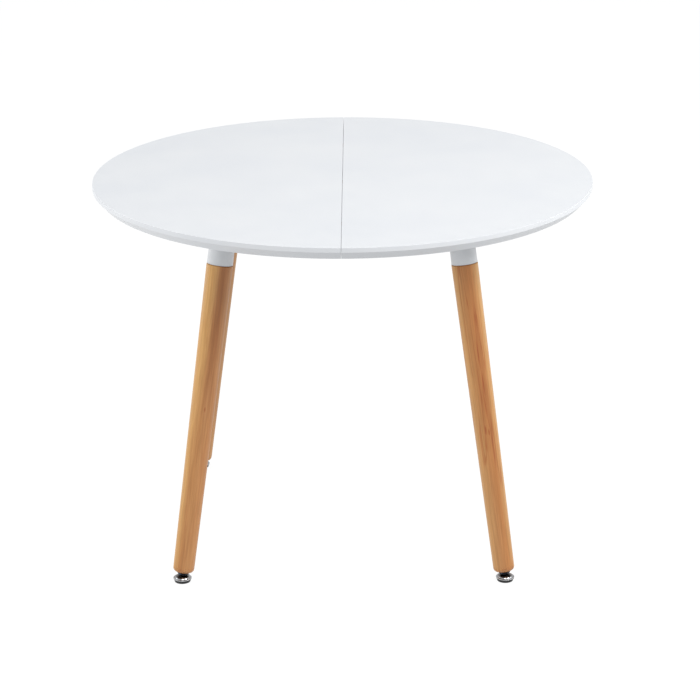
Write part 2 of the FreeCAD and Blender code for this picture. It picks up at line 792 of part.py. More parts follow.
def make_slides():
    """Channel, runner, ball cage and top bracket of each of the four slides."""
    channel = channel_profile("0", "slide_deep", "slide_tall", "slide_wall", True)
    runner = channel_profile("runner_back", "runner_front", "runner_tall", "slide_wall", False)
    low = "-rail_wide / 2"
    high = f"{low} + bracket_drop"
    bracket = [
        ("runner_front", low),
        ("runner_front + bracket_wall", low),
        ("runner_front + bracket_wall", f"{high} - bracket_wall"),
        ("runner_front + bracket_wide", f"{high} - bracket_wall"),
        ("runner_front + bracket_wide", high),
        ("runner_front", high),
    ]
    line = "runner_front + screw_line"
    holes = [(f"{step} * screw_pitch", line, "screw_hole") for step in (-1, 0, 1)]
    cage = ball_cage()
    cages = {LEFT: [], RIGHT: []}
    for name, side, place in slide_places():
        outer = extruded(f"{name}_slide_channel", "YZ_Plane", [channel], "slide_length")
        keep(f"{name}_slide_channel", outer, place)
        inner = extruded(f"{name}_slide_runner", "YZ_Plane", [runner], "slide_length")
        keep(f"{name}_slide_runner", inner, place)
        angle = extruded(f"{name}_top_bracket", "YZ_Plane", [bracket], "slide_length")
        pocket(angle, "XY_Plane", "3 * bracket_drop", circles=holes)
        keep(f"{name}_top_bracket", angle, place)
        cages[side].append(place)
    group("left_ball_cages", cage, cages[LEFT])
    group("right_ball_cages", cage, cages[RIGHT])


# ---------------------------------------------------------------- leaf


def leaf_panel(label):
    """Half of the leaf: rim with its bevel at +Y, underside at Z = 0."""
    half = "leaf_half / 2"
    outline = [
        (f"-{half}", "0"),
        (f"{half} - rim_inset", "0"),
        (half, "top_thick - rim_straight"),
        (half, "top_thick - leaf_chamfer"),
        (f"{half} - leaf_chamfer", "top_thick"),
        (f"-{half}", "top_thick"),
    ]
    return extruded(label, "YZ_Plane", [outline], "leaf_wide")


def hinge_barrel(label, radius, length, start):
    """Cylinder along X on the fold line, which runs along the panels' square edges."""
    barrel = solid("Cylinder", label, Radius=radius, Height=length)
    barrel.Placement = at(start, value("leaf_half / 2"), 0, Rotation(Vector(0, 1, 0), 90))
    return barrel


def hinge_side(label, base, knuckles):
    """One leaf of a hinge: a flat plate whose lower face is at base, and its own knuckles."""
    edge = "leaf_half / 2"
    stop = f"{edge} - knuckle_radius - hinge_play"
    knuckle = "hinge_length / 3 - hinge_play"
    outline = rectangle(f"{edge} - hinge_leaf", stop, base, f"{base} + hinge_thick")
    parts = [extruded(f"{label}_plate", "YZ_Plane", [outline], "hinge_length")]
    bores = []
    for index in knuckles:
        start = value(f"{index} * hinge_length / 3 - ({knuckle}) / 2")
        parts.append(hinge_barrel(f"{label}_knuckle_{index}", "knuckle_radius", knuckle, start))
        tab = solid(
            "Box",
            f"{label}_tab_{index}",
            Length=knuckle,
            Width="knuckle_radius + 2 * hinge_play",
            Height="hinge_thick",
        )
        tab.Placement = at(start, value(f"{stop} - hinge_play"), value(base))
        parts.append(tab)
        bore_radius = "hinge_pin_radius + hinge_pin_play"
        bores.append(hinge_barrel(f"{label}_bore_{index}", bore_radius, knuckle, start))
    return cut(label, fused(f"{label}_blank", parts), bores)


def make_leaf_hinges():
    """Two hinges between the folded panels: plates above, plates below, and their pins."""
    level = value("leaf_top - top_thick - leaf_gap / 2")
    places = [at(side * size("hinge_x"), 0, level) for side in (-1, 1)]
    upper = hinge_side("hinge_upper", "(leaf_gap / 2 - hinge_thick)", (-1, 1))
    group("leaf_hinge_upper_plates", upper, places)
    lower = hinge_side("hinge_lower", "(-leaf_gap / 2)", (0,))
    group("leaf_hinge_lower_plates", lower, places)
    pin = extruded(
        "hinge_pin",
        "YZ_Plane",
        [],
        "hinge_length",
        circles=[("leaf_half / 2", "0", "hinge_pin_radius")],
    )
    group("leaf_hinge_pins", pin, places)


def make_leaf():
    """The folded leaf, undersides together, and the straps that carry it."""
    upper_base = value("leaf_top - top_thick")
    lower_base = value("leaf_top - top_thick - leaf_gap")
    upper = leaf_panel("leaf_upper_panel")
    keep("leaf_upper_panel", upper, at(up=upper_base, rotation=Rotation(UP, 180)))
    lower = leaf_panel("leaf_lower_panel")
    flipped = Rotation(Vector(1, 0, 0), 180)
    keep("leaf_lower_panel", lower, at(up=lower_base, rotation=flipped))

    face = "(beam_x - beam_wide / 2)"
    strap = [
        (f"-{face}", "0"),
        (face, "0"),
        (face, "bearer_tall"),
        (f"{face} - bearer_thick", "bearer_tall"),
        (f"{face} - bearer_thick", "bearer_thick"),
        (f"bearer_thick - {face}", "bearer_thick"),
        (f"bearer_thick - {face}", "bearer_tall"),
        (f"-{face}", "bearer_tall"),
    ]
    bearer = extruded("leaf_bearer", "XZ_Plane", [strap], "bearer_wide")
    floor = value("leaf_top - 2 * top_thick - leaf_gap - bearer_thick")
    places = [at(0, end * size("bearer_y"), floor) for end in (FRONT, REAR)]
    group("leaf_bearers", bearer, places)


# ---------------------------------------------------------------- locks


def lock_hook(label):
    """Flat hook turned about Z: at zero it holds a pin on its +X side, and its lever points to -X."""
    reach = "(lock_pivot_x + lock_pin_x)"
    inner = f"({reach} - hook_band / 2)"
    outer = f"({reach} + hook_band / 2)"
    hub = cylinder(f"{label}_hub", "hook_hub", "hook_thick", "0")
    jaw = solid("Cylinder", f"{label}_jaw", Radius=outer, Height="hook_thick", Angle="hook_jaw")
    jaw.Placement = at(rotation=Rotation(UP, -size("hook_mouth")))
    void = solid("Cylinder", f"{label}_void", Radius=inner, Height="hook_thick")
    band = cut(f"{label}_band", jaw, [void])
    arm_wide = "hook_band"
    arm_long = f"{inner} + hook_thick"
    arm = solid("Box", f"{label}_arm", Length=arm_long, Width=arm_wide, Height="hook_thick")
    arm_turn = Rotation(UP, size("hook_arm_turn"))
    arm.Placement = at(rotation=arm_turn) * at(along=-value(f"{arm_wide} / 2"))
    lever = solid(
        "Box", f"{label}_lever", Length="handle_length", Width="handle_wide", Height="hook_thick"
    )
    lever.Placement = at(-size("handle_length"), -value("handle_wide / 2"))
    tip = cylinder(f"{label}_lever_tip", "handle_wide / 2", "hook_thick", "0")
    bind(tip, **{"Placement.Base.x": "-handle_length"})
    blank = fused(f"{label}_blank", [hub, band, arm, lever, tip])
    slot_radius = "(keeper_radius + keeper_play)"
    slot = solid(
        "Cylinder",
        f"{label}_slot",
        Radius=f"{reach} + {slot_radius}",
        Height="hook_thick",
        Angle="slot_sweep",
    )
    slot.Placement = at(rotation=Rotation(UP, -size("slot_sweep")))
    core_radius = f"{reach} - {slot_radius}"
    core = solid("Cylinder", f"{label}_slot_core", Radius=core_radius, Height="hook_thick")
    track = cut(f"{label}_track", slot, [core])
    end = cylinder(f"{label}_slot_end", slot_radius, "hook_thick", "0")
    bind(end, **{"Placement.Base.x": reach})
    bore = cylinder(f"{label}_bore", "lock_hole", "hook_thick", "0")
    return cut(label, blank, [track, end, bore])


def make_locks():
    """Two hooks under the seam, their plates and pivots, and the keepers on the other half."""
    under = value(UNDERSIDE)
    hook_base = value(f"{UNDERSIDE} - lock_sheet - hook_play - hook_thick")
    for name, end in ENDS.items():
        hook = lock_hook(f"{name}_lock_hook")
        open_turn = Rotation(UP, size("hook_turn"))
        pivot = at(-size("lock_pivot_x"), end * size("lock_y"), hook_base, open_turn)
        keep(f"{name}_lock_hook", hook, pivot)
    half = "lock_plate_half"
    plate = extruded(
        "lock_plate",
        "XY_Plane",
        [rectangle("-lock_plate_far", "-lock_plate_edge", f"-{half}", half)],
        "lock_sheet",
        circles=[("-lock_pivot_x", "0", "lock_rivet")],
    )
    level = under - size("lock_sheet") / 2
    group("lock_plates", plate, [at(0, end * size("lock_y"), level) for end in (FRONT, REAR)])
    rivet_length = "(lock_sheet + hook_thick + 2 * hook_play + lock_rivet_head_thick)"
    shank = cylinder("rivet_shank", "lock_rivet", rivet_length, f"-{rivet_length}")
    head = cylinder(
        "rivet_head", "lock_rivet_head", "lock_rivet_head_thick", f"-{rivet_length}"
    )
    rivet = fused("lock_pivot", [shank, head])
    places = [at(-size("lock_pivot_x"), end * size("lock_y"), under) for end in (FRONT, REAR)]
    group("lock_pivots", rivet, places)
    sheet_part = solid(
        "Box",
        "keeper_sheet",
        Length="lock_plate_far - lock_plate_edge",
        Width=f"2 * {half}",
        Height="lock_sheet",
    )
    bind(
        sheet_part,
        **{
            "Placement.Base.x": "lock_plate_edge",
            "Placement.Base.y": f"-{half}",
            "Placement.Base.z": "-lock_sheet",
        },
    )
    pin = cylinder(
        "keeper_pin", "keeper_radius", "keeper_length + lock_sheet", "-keeper_length - lock_sheet"
    )
    bind(pin, **{"Placement.Base.x": "lock_pin_x"})
    keeper = fused("lock_keeper", [sheet_part, pin])
    group("lock_keepers", keeper, [at(0, end * size("lock_y"), under) for end in (FRONT, REAR)])


# ---------------------------------------------------------------- screws


def make_top_screws():
    """Pan head wood screws that hold the brackets to the half tops."""
    shank = cylinder("screw_shank", "screw_radius", "screw_length", "0")
    head = cylinder("screw_pan", "screw_head_radius", "screw_head_thick", "-screw_head_thick")
    screw = fused("wood_screw", [shank, head])
    level = value(UNDERSIDE) - size("bracket_wall") - value(SLIDE_MIDDLE)
    depth = value("runner_front + screw_line")
    places = {LEFT: [], RIGHT: []}
    for _, side, place in slide_places():
        for step in (-1, 0, 1):
            spot = at(step * size("screw_pitch"), depth, level)
            places[side].append(place * spot)
    group("left_top_screws", screw, places[LEFT])
    group("right_top_screws", screw, places[RIGHT])


# ---------------------------------------------------------------- the whole table


def check_and_write():
    """Stop on any failed object, then write one STEP file for each node."""
    document.recompute()
    failed = [
        thing.Label
        for thing in document.Objects
        if "Invalid" in thing.State or "Error" in thing.State
    ]
    if failed:
        raise RuntimeError(f"failed objects: {failed}")
    for name, part in nodes.items():
        if part.Shape.isNull() or not part.Shape.isValid() or not part.Shape.Solids:
            raise RuntimeError(f"{name} has no valid solid")
    os.makedirs("parts", exist_ok=True)
    for name, part in nodes.items():
        part.Shape.exportStep(f"parts/{name}.step")
        print(name, len(part.Shape.Solids), round(part.Shape.Volume))


ALIASES = {alias for alias, _, _ in DIMENSIONS}
fill_sheet()
make_tops()
for leg_name, leg_side, leg_end in leg_places():
    make_sleeve(leg_name, leg_side, leg_end)
    make_leg(leg_name, leg_side, leg_end)
    make_foot(leg_name, leg_side, leg_end)
make_leg_fixings()
make_rails()
make_cross_beams()
make_corner_plates()
make_slides()
make_leaf()
make_leaf_hinges()
make_locks()
make_top_screws()
check_and_write()
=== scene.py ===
import json
import math

import bmesh
import bpy
from mathutils import Euler, Matrix, Vector


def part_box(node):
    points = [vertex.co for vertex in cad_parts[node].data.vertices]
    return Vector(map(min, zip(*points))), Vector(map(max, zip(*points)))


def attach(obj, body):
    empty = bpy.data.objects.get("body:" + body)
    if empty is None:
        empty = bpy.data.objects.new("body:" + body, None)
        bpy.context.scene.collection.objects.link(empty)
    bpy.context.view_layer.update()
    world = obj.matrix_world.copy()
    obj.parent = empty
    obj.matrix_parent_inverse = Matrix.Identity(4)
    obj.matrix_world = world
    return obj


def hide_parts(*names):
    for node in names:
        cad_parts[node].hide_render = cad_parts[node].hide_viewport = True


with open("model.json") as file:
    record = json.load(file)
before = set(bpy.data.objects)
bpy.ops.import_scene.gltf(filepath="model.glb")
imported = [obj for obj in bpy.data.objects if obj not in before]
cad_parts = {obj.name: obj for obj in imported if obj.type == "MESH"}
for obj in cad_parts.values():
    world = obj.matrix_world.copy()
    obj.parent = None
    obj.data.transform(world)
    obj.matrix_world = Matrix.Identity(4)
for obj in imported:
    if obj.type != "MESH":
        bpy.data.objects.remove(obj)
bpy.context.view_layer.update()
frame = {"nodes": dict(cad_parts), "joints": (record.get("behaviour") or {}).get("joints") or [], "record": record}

# ---------------------------------------------------------------- places taken from the frame

LEGS = ("front_left", "front_right", "rear_left", "rear_right")
JOINTS = {joint["name"]: joint for joint in frame["joints"]}
MM = 0.001
AXIS_DOWN = Vector((0, 0, -1))
# Points of a mesh that are closer than this are one point (metres).
SAME_POINT = 1e-6


def leg_axis(leg):
    """Top of a leg's axis and the unit direction down it, from its foot's joint."""
    joint = JOINTS[f"{leg}_foot_turn"]
    return Vector(joint["pos_m"]), Vector(joint["axis"]).normalized()


def leg_place(leg, height):
    """Frame on a leg's axis at a height above the floor: its +Z runs up the leg."""
    start, down = leg_axis(leg)
    point = start + down * ((start.z - height) / -down.z)
    turn = AXIS_DOWN.rotation_difference(down).to_matrix().to_4x4()
    return Matrix.Translation(point) @ turn


def foot_place(leg):
    """Frame on the floor under the middle of a leg's dish."""
    low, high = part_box(f"{leg}_foot_dish")
    middle = (low + high) / 2
    return Matrix.Translation((middle.x, middle.y, 0))


def islands(node):
    """(lowest corner, highest corner) of each separate solid of a CAD node."""
    mesh = bmesh.new()
    mesh.from_mesh(frame["nodes"][node].data)
    bmesh.ops.remove_doubles(mesh, verts=mesh.verts, dist=SAME_POINT)
    left = set(mesh.verts)
    boxes = []
    while left:
        reached = [left.pop()]
        corners = []
        while reached:
            vertex = reached.pop()
            corners.append(vertex.co.copy())
            fresh = {edge.other_vert(vertex) for edge in vertex.link_edges} & left
            left -= fresh
            reached.extend(fresh)
        low = Vector([min(corner[axis] for corner in corners) for axis in range(3)])
        high = Vector([max(corner[axis] for corner in corners) for axis in range(3)])
        boxes.append((low, high))
    mesh.free()
    return sorted(boxes, key=lambda box: tuple(box[0]))


# ---------------------------------------------------------------- material tools

# The range that holds most of a noise's values.
NOISE_SPREAD = (0.3, 0.7)
# Where the Mix node keeps the sockets of its colour mode.
MIX_FACTOR = 0
MIX_FIRST = 6
MIX_SECOND = 7
MIX_RESULT = 2


class Graph:
    """One material's node tree, with short calls to add and wire nodes."""

    def __init__(self, name):
        self.material = bpy.data.materials.new(name)
        self.material.use_nodes = True
        self.tree = self.material.node_tree
        self.shader = self.tree.nodes["Principled BSDF"]

    def add(self, kind, **inputs):
        """Node of a kind, its inputs set by name to a value or to another node's output."""
        node = self.tree.nodes.new(f"ShaderNode{kind}")
        self.feed(node, **inputs)
        return node

    def feed(self, node, **inputs):
        """Set or link the inputs of a node; underscores in a name stand for spaces."""
        for name, value in inputs.items():
            socket = node.inputs[name.replace("_", " ")]
            if isinstance(value, bpy.types.NodeSocket):
                self.tree.links.new(value, socket)
            else:
                socket.default_value = value

    def look(self, **inputs):
        """Set or link the inputs of the material's own shader."""
        self.feed(self.shader, **inputs)

    def place(self, offset=(0, 0, 0), turn=(0, 0, 0)):
        """Object coordinates, moved and turned."""
        coordinates = self.add("TexCoord")
        mapping = self.add("Mapping", Vector=coordinates.outputs["Object"])
        self.feed(mapping, Location=offset, Rotation=turn)
        return mapping.outputs["Vector"]

    def noise(self, vector, scale, detail=2.0, roughness=0.5):
        """Noise value between 0 and 1."""
        node = self.add("TexNoise", Vector=vector, Scale=scale, Detail=detail, Roughness=roughness)
        return node.outputs["Fac"]

    def ramp(self, value, stops):
        """Colour ramp through (position, colour) stops."""
        node = self.add("ValToRGB", Fac=value)
        elements = node.color_ramp.elements
        while len(elements) < len(stops):
            elements.new(0.5)
        for element, (position, colour) in zip(elements, stops):
            element.position = position
            element.color = (*colour, 1.0)
        return node.outputs["Color"]

    def vector(self, kind, first, second):
        """Arithmetic on two vectors."""
        node = self.tree.nodes.new("ShaderNodeVectorMath")
        node.operation = kind
        self.tree.links.new(first, node.inputs[0])
        node.inputs[1].default_value = second
        return node.outputs[0]

    def length(self, vector):
        """Length of a vector."""
        node = self.tree.nodes.new("ShaderNodeVectorMath")
        node.operation = "LENGTH"
        self.tree.links.new(vector, node.inputs[0])
        return node.outputs["Value"]

    def split(self, vector):
        """The three components of a vector."""
        return self.add("SeparateXYZ", Vector=vector).outputs

    def span(self, value, low, high, to_low=0.0, to_high=1.0):
        """Value mapped smoothly from one range to another and held inside it."""
        node = self.add("MapRange", Value=value)
        node.interpolation_type = "SMOOTHSTEP"
        self.feed(node, From_Min=low, From_Max=high, To_Min=to_low, To_Max=to_high)
        return node.outputs["Result"]

    def blend(self, factor, first, second, kind="MIX"):
        """Two colours mixed by a factor."""
        node = self.tree.nodes.new("ShaderNodeMix")
        node.data_type = "RGBA"
        node.blend_type = kind
        for index, value in ((MIX_FACTOR, factor), (MIX_FIRST, first), (MIX_SECOND, second)):
            if isinstance(value, bpy.types.NodeSocket):
                self.tree.links.new(value, node.inputs[index])
            elif index == MIX_FACTOR:
                node.inputs[index].default_value = value
            else:
                node.inputs[index].default_value = (*value, 1.0)
        return node.outputs[MIX_RESULT]

    def math(self, kind, first, second=0.0):
        """Arithmetic on two values."""
        node = self.tree.nodes.new("ShaderNodeMath")
        node.operation = kind
        for index, value in enumerate((first, second)):
            if isinstance(value, bpy.types.NodeSocket):
                self.tree.links.new(value, node.inputs[index])
            else:
                node.inputs[index].default_value = value
        return node.outputs[0]

    def bump(self, height, strength, distance):
        """Normal bent by a height."""
        node = self.add("Bump", Height=height, Strength=strength, Distance=distance)
        return node.outputs["Normal"]


# ---------------------------------------------------------------- materials


def white_lacquer():
    """Sprayed white lacquer on board: slight orange peel and faint clouding."""
    graph = Graph("white_lacquer")
    spot = graph.place()
    clouds = graph.noise(spot, 7.0, detail=4.0)
    colour = graph.ramp(clouds, [(0.3, (0.80, 0.815, 0.84)), (0.7, (0.835, 0.845, 0.86))])
    peel = graph.noise(spot, 900.0, detail=2.0)
    rub = graph.noise(spot, 28.0, detail=6.0, roughness=0.65)
    graph.look(
        Base_Color=colour,
        Roughness=graph.span(rub, *NOISE_SPREAD, 0.36, 0.46),
        Normal=graph.bump(peel, strength=0.06, distance=0.0004),
    )
    return graph.material


def white_paint():
    """Powder coat on steel."""
    graph = Graph("white_paint")
    spot = graph.place()
    tone = graph.noise(spot, 40.0, detail=4.0)
    grain = graph.noise(spot, 1600.0, detail=3.0)
    graph.look(
        Base_Color=graph.ramp(tone, [(0.3, (0.755, 0.77, 0.785)), (0.7, (0.785, 0.795, 0.81))]),
        Roughness=graph.span(tone, *NOISE_SPREAD, 0.38, 0.48),
        Normal=graph.bump(grain, strength=0.12, distance=0.0003),
    )
    return graph.material


# How much darker the dark patches of a simple finish are, and how far its roughness swings.
MOTTLE_DARK = 0.94
MOTTLE_SWING = 0.07


def plain(name, colour, roughness, metallic=0.0, grain=900.0, depth=0.1):
    """Simple finish with slight mottling and a fine surface grain."""
    graph = Graph(name)
    spot = graph.place()
    tone = graph.noise(spot, 60.0, detail=5.0)
    darker = tuple(MOTTLE_DARK * channel for channel in colour)
    smooth = roughness * (1 - MOTTLE_SWING)
    rough = roughness * (1 + MOTTLE_SWING)
    fine = graph.noise(spot, grain, detail=3.0)
    graph.look(
        Base_Color=graph.ramp(tone, [(0.3, darker), (0.7, colour)]),
        Roughness=graph.span(tone, *NOISE_SPREAD, smooth, rough),
        Metallic=metallic,
        Normal=graph.bump(fine, strength=depth, distance=0.0003),
    )
    return graph.material


# How each leg's wood looks from the front: the middle, at the top of the leg, of its painted shade, a
# dark band down its front that stands for the shade under the table's top, how far that runs sideways
# per metre down, its half width, its tint, and how far down it fades (metres); the strength of the
# painted light on its left and right sides; and lines, the strength of the thin red-brown lines. marks
# are the small dark marks on its front: how far right of its axis, how far down it, and their half width and half
# height (metres).
WOOD = {
    "front_left": {
        "painted_shade": (0.014, 0.021, 0.016),
        "tint": (0.70, 0.54, 0.40),
        "fade": (0.48, 0.20),
        "painted_light": (1.0, 0.0),
        "lines": 0.25,
        "marks": ((0.005, 0.377, 0.0017, 0.007),),
    },
    "front_right": {
        "painted_shade": (0.003, 0.0, 0.017),
        "tint": (0.97, 0.88, 0.80),
        "fade": (2.0, 1.0),
        "painted_light": (0.55, 1.0),
        "lines": 0.8,
        "marks": (
            (0.003, 0.266, 0.0015, 0.036),
            (0.006, 0.328, 0.0017, 0.030),
            (-0.001, 0.421, 0.0024, 0.013),
            (0.005, 0.426, 0.0020, 0.009),
        ),
    },
    "rear_left": {
        "painted_shade": (-0.004, 0.01, 0.012),
        "tint": (0.85, 0.74, 0.64),
        "fade": (0.7, 0.3),
        "painted_light": (0.3, 0.3),
        "lines": 0.5,
        "marks": ((-0.006, 0.21, 0.0015, 0.009),),
    },
    "rear_right": {
        "painted_shade": (0.008, -0.01, 0.013),
        "tint": (0.82, 0.72, 0.62),
        "fade": (2.0, 1.0),
        "painted_light": (0.3, 0.3),
        "lines": 0.5,
        "marks": ((0.004, 0.52, 0.0015, 0.011),),
    },
}
# Where the marks lie along Y from a leg's axis, and how far they reach to the front and back of
# that (metres), so that they show on its front only.
LEG_FRONT = -0.023
MARK_WRAP = 0.014
# How far apart the legs' wood lies in the noise, so that no two legs are alike.
GRAIN_STEP = (1.37, 0.71, 2.3)
# How much the grain and its flecks are drawn out along the leg.
GRAIN_STRETCH = (1.0, 1.0, 0.04)
FLECK_STRETCH = (1.0, 1.0, 0.12)
# How far the edges of the painted shade and the painted light wander sideways (metres).
PAINTED_EDGE_DRIFT = 0.003
# Where the painted light on the sides begins and is full, and where the painted shade is darkest, as
# shares of the painted shade's half width from its middle.
PAINTED_LIGHT_SPREAD = (0.3, 1.6)
SHADE_CORE = 0.1
# The part of a mark that is darkest, the width of the thin lines in the noise, and the strength of
# the fine streaks.
MARK_CORE = 0.3
LINE_WIDTH = 0.03
STREAK_STRENGTH = 0.9
# Where the end grain begins and where it is full, up the leg from the floor (metres).
END_GRAIN = (0.034, 0.027)


def beech(leg, seed):
    """Clear varnished beech with its grain along one leg, painted light on its sides and painted shade down its
    front.
    """
    wood = WOOD[leg]
    start, down = leg_axis(leg)
    turn = down.rotation_difference(AXIS_DOWN)
    length = start.z / -down.z
    graph = Graph(f"beech_{leg}")
    local = graph.place(-(turn @ start), turn.to_euler())
    across, _, along = graph.split(local)
    shifted = graph.vector("ADD", local, [seed * step for step in GRAIN_STEP])
    grain = graph.vector("MULTIPLY", shifted, GRAIN_STRETCH)
    tone = graph.noise(grain, 30.0, detail=3.0)
    streak = graph.noise(grain, 330.0, detail=6.0, roughness=0.65)
    fleck = graph.noise(graph.vector("MULTIPLY", shifted, FLECK_STRETCH), 1300.0, detail=2.0)
    colour = graph.ramp(
        tone,
        [(0.32, (0.51, 0.20, 0.056)), (0.5, (0.61, 0.272, 0.085)), (0.68, (0.66, 0.32, 0.116))],
    )

    drift = graph.span(graph.noise(grain, 45.0), *NOISE_SPREAD, -PAINTED_EDGE_DRIFT, PAINTED_EDGE_DRIFT)
    wandering = graph.math("ADD", across, drift)
    middle, run, half = wood["painted_shade"]
    leaning = graph.math("SUBTRACT", wandering, graph.math("MULTIPLY", along, run))
    # Painted light: the leg's left and right sides are made lighter, as if lit from the side.
    for side, strength in zip((-1, 1), wood["painted_light"]):
        begin, full = [middle + side * share * half for share in PAINTED_LIGHT_SPREAD]
        painted_light = graph.span(leaning, begin, full)
        painted_light = graph.math("MULTIPLY", painted_light, strength)
        colour = graph.blend(painted_light, colour, (0.76, 0.42, 0.14))
    # Painted shade: a dark band down the leg's front, darkest at its top, as if shaded by the table's top.
    off_shade = graph.math("ABSOLUTE", graph.math("SUBTRACT", leaning, middle))
    painted_shade = graph.span(off_shade, half, SHADE_CORE * half)
    far, near = wood["fade"]
    painted_shade = graph.math("MULTIPLY", painted_shade, graph.span(along, -far, -near))
    colour = graph.blend(painted_shade, colour, wood["tint"], "MULTIPLY")

    for sideways, depth, half_wide, half_tall in wood["marks"]:
        moved = graph.vector("SUBTRACT", local, (sideways, LEG_FRONT, -depth))
        stretched = graph.vector("MULTIPLY", moved, (1 / half_wide, 1 / MARK_WRAP, 1 / half_tall))
        mark = graph.span(graph.length(stretched), 1.0, MARK_CORE)
        colour = graph.blend(mark, colour, (0.78, 0.54, 0.42), "MULTIPLY")

    layers = graph.noise(grain, 60.0, detail=3.0)
    off_line = graph.math("ABSOLUTE", graph.math("SUBTRACT", layers, 0.5))
    line = graph.span(off_line, LINE_WIDTH, 0.0)
    line = graph.math("MULTIPLY", line, wood["lines"])
    colour = graph.blend(line, colour, (0.80, 0.58, 0.46), "MULTIPLY")
    fine = graph.ramp(streak, [(0.34, (0.80, 0.76, 0.70)), (0.62, (1.03, 1.03, 1.03))])
    colour = graph.blend(STREAK_STRENGTH, colour, fine, "MULTIPLY")

    begin, full = END_GRAIN
    end_grain = graph.span(along, begin - length, full - length)
    pores = graph.ramp(
        graph.noise(shifted, 620.0, detail=2.0),
        [(0.36, (0.66, 0.50, 0.40)), (0.50, (0.97, 0.94, 0.90)), (0.64, (1.12, 1.18, 1.22))],
    )
    colour = graph.blend(end_grain, colour, pores, "MULTIPLY")
    graph.look(
        Base_Color=colour,
        Roughness=graph.span(streak, *NOISE_SPREAD, 0.36, 0.52),
        Normal=graph.bump(fleck, strength=0.16, distance=0.0003),
    )
    return graph.material


# How far either side of a screw's middle its tint turns from blue to brown, and how wide the change
# from the painted dark reflection on a dish's dome to the painted bright reflection on its brim is (metres).
TINT_TURN = 0.006
BRIM_BLEND = 0.0006


def smoked_chrome():
    """Dark mirror plate, tinted blue on its -X side and brown on its +X side, in patches."""
    graph = Graph("smoked_chrome")
    spot = graph.place()
    cloud = graph.noise(spot, 130.0, detail=3.0)
    fine = graph.noise(spot, 500.0, detail=4.0)
    across, _, _ = graph.split(spot)
    side = graph.span(across, -TINT_TURN, TINT_TURN)
    tint = graph.blend(side, (0.030, 0.060, 0.105), (0.110, 0.045, 0.024))
    graph.look(
        Base_Color=graph.blend(graph.span(cloud, 0.45, 0.65), (0.014, 0.014, 0.017), tint),
        Roughness=graph.span(fine, *NOISE_SPREAD, 0.14, 0.24),
        Metallic=1.0,
        Normal=graph.bump(fine, strength=0.04, distance=0.0002),
    )
    return graph.material


def foot_chrome(dome_radius):
    """Chrome of a dish with painted reflections: bright on its brim, and dark where its dome stands, inside a
    radius.
    """
    graph = Graph("foot_chrome")
    spot = graph.place()
    cloud = graph.noise(spot, 140.0, detail=3.0)
    distance = graph.length(graph.vector("MULTIPLY", spot, (1.0, 1.0, 0.0)))
    brim = graph.span(distance, dome_radius, dome_radius + BRIM_BLEND)
    # Painted reflection: the brim's colour is made bright, as if it mirrored the white floor, and the dome's dark,
    # as if it mirrored the table's underside.
    bright = graph.ramp(cloud, [(0.36, (0.44, 0.445, 0.46)), (0.60, (0.68, 0.69, 0.70))])
    dark = graph.ramp(cloud, [(0.40, (0.020, 0.015, 0.014)), (0.66, (0.120, 0.075, 0.052))])
    graph.look(
        Base_Color=graph.blend(brim, dark, bright),
        Roughness=graph.span(cloud, *NOISE_SPREAD, 0.12, 0.22),
        Metallic=1.0,
    )
    return graph.material


def slot_finishes():
    """One material for each slot of the record, and one more for each leg."""
    finishes = {
        "white_lacquer": white_lacquer(),
        "white_paint": white_paint(),
        "dowel_wood": plain("dowel_wood", (0.60, 0.40, 0.22), 0.55),
        "chrome": plain("chrome", (0.78, 0.79, 0.80), 0.12, metallic=1.0, grain=300.0, depth=0.03),
        "dark_chrome": plain(
            "dark_chrome", (0.16, 0.15, 0.15), 0.22, metallic=1.0, grain=300.0, depth=0.05
        ),
        "rubber": plain("rubber", (0.012, 0.012, 0.013), 0.6, grain=1500.0, depth=0.3),
        "white_plastic": plain("white_plastic", (0.72, 0.73, 0.74), 0.45),
        "brass_insert": plain("brass_insert", (0.72, 0.52, 0.24), 0.3, metallic=1.0),
        "zinc_steel": plain(
            "zinc_steel", (0.60, 0.61, 0.63), 0.32, metallic=1.0, grain=700.0, depth=0.08
        ),
    }
    for index, leg in enumerate(LEGS):
        finishes[f"{leg}_leg"] = beech(leg, index + 1)
    return finishes


# Radius of the rounded edges of each slot's nodes, in millimetres, and the ends of the names of the
# nodes whose edges stay sharp, because rounding draws dark lines between their many holes.
EDGE_ROUNDING = {"white_lacquer": 0.6, "white_paint": 0.7, "white_plastic": 0.6, "zinc_steel": 0.3}
PIERCED = ("top_bracket", "corner_plates")
# Edges sharper than this are rounded on CAD nodes, and left sharp on new pieces (degrees).
ROUND_ABOVE = 30.0
SHARP_ABOVE = 38.0


def finish_nodes(finishes):
    """Give every CAD node the material of its slot, and round the edges of sheet and board."""
    for entry in frame["record"]["subparts"]:
        node = frame["nodes"][entry["node"]]
        slot = entry["material_slot"]
        node.data.materials.clear()
        node.data.materials.append(finishes.get(entry["node"], finishes.get(slot)))
        if slot in EDGE_ROUNDING and not entry["node"].endswith(PIERCED):
            weld = node.modifiers.new("weld", "WELD")
            weld.merge_threshold = SAME_POINT
            bevel = node.modifiers.new("bevel", "BEVEL")
            bevel.width = EDGE_ROUNDING[slot] * MM
            bevel.segments = 2
            bevel.limit_method = "ANGLE"
            bevel.angle_limit = math.radians(ROUND_ABOVE)
            bevel.use_clamp_overlap = True
            node.modifiers.new("normals", "WEIGHTED_NORMAL").keep_sharp = True


# ---------------------------------------------------------------- shapes


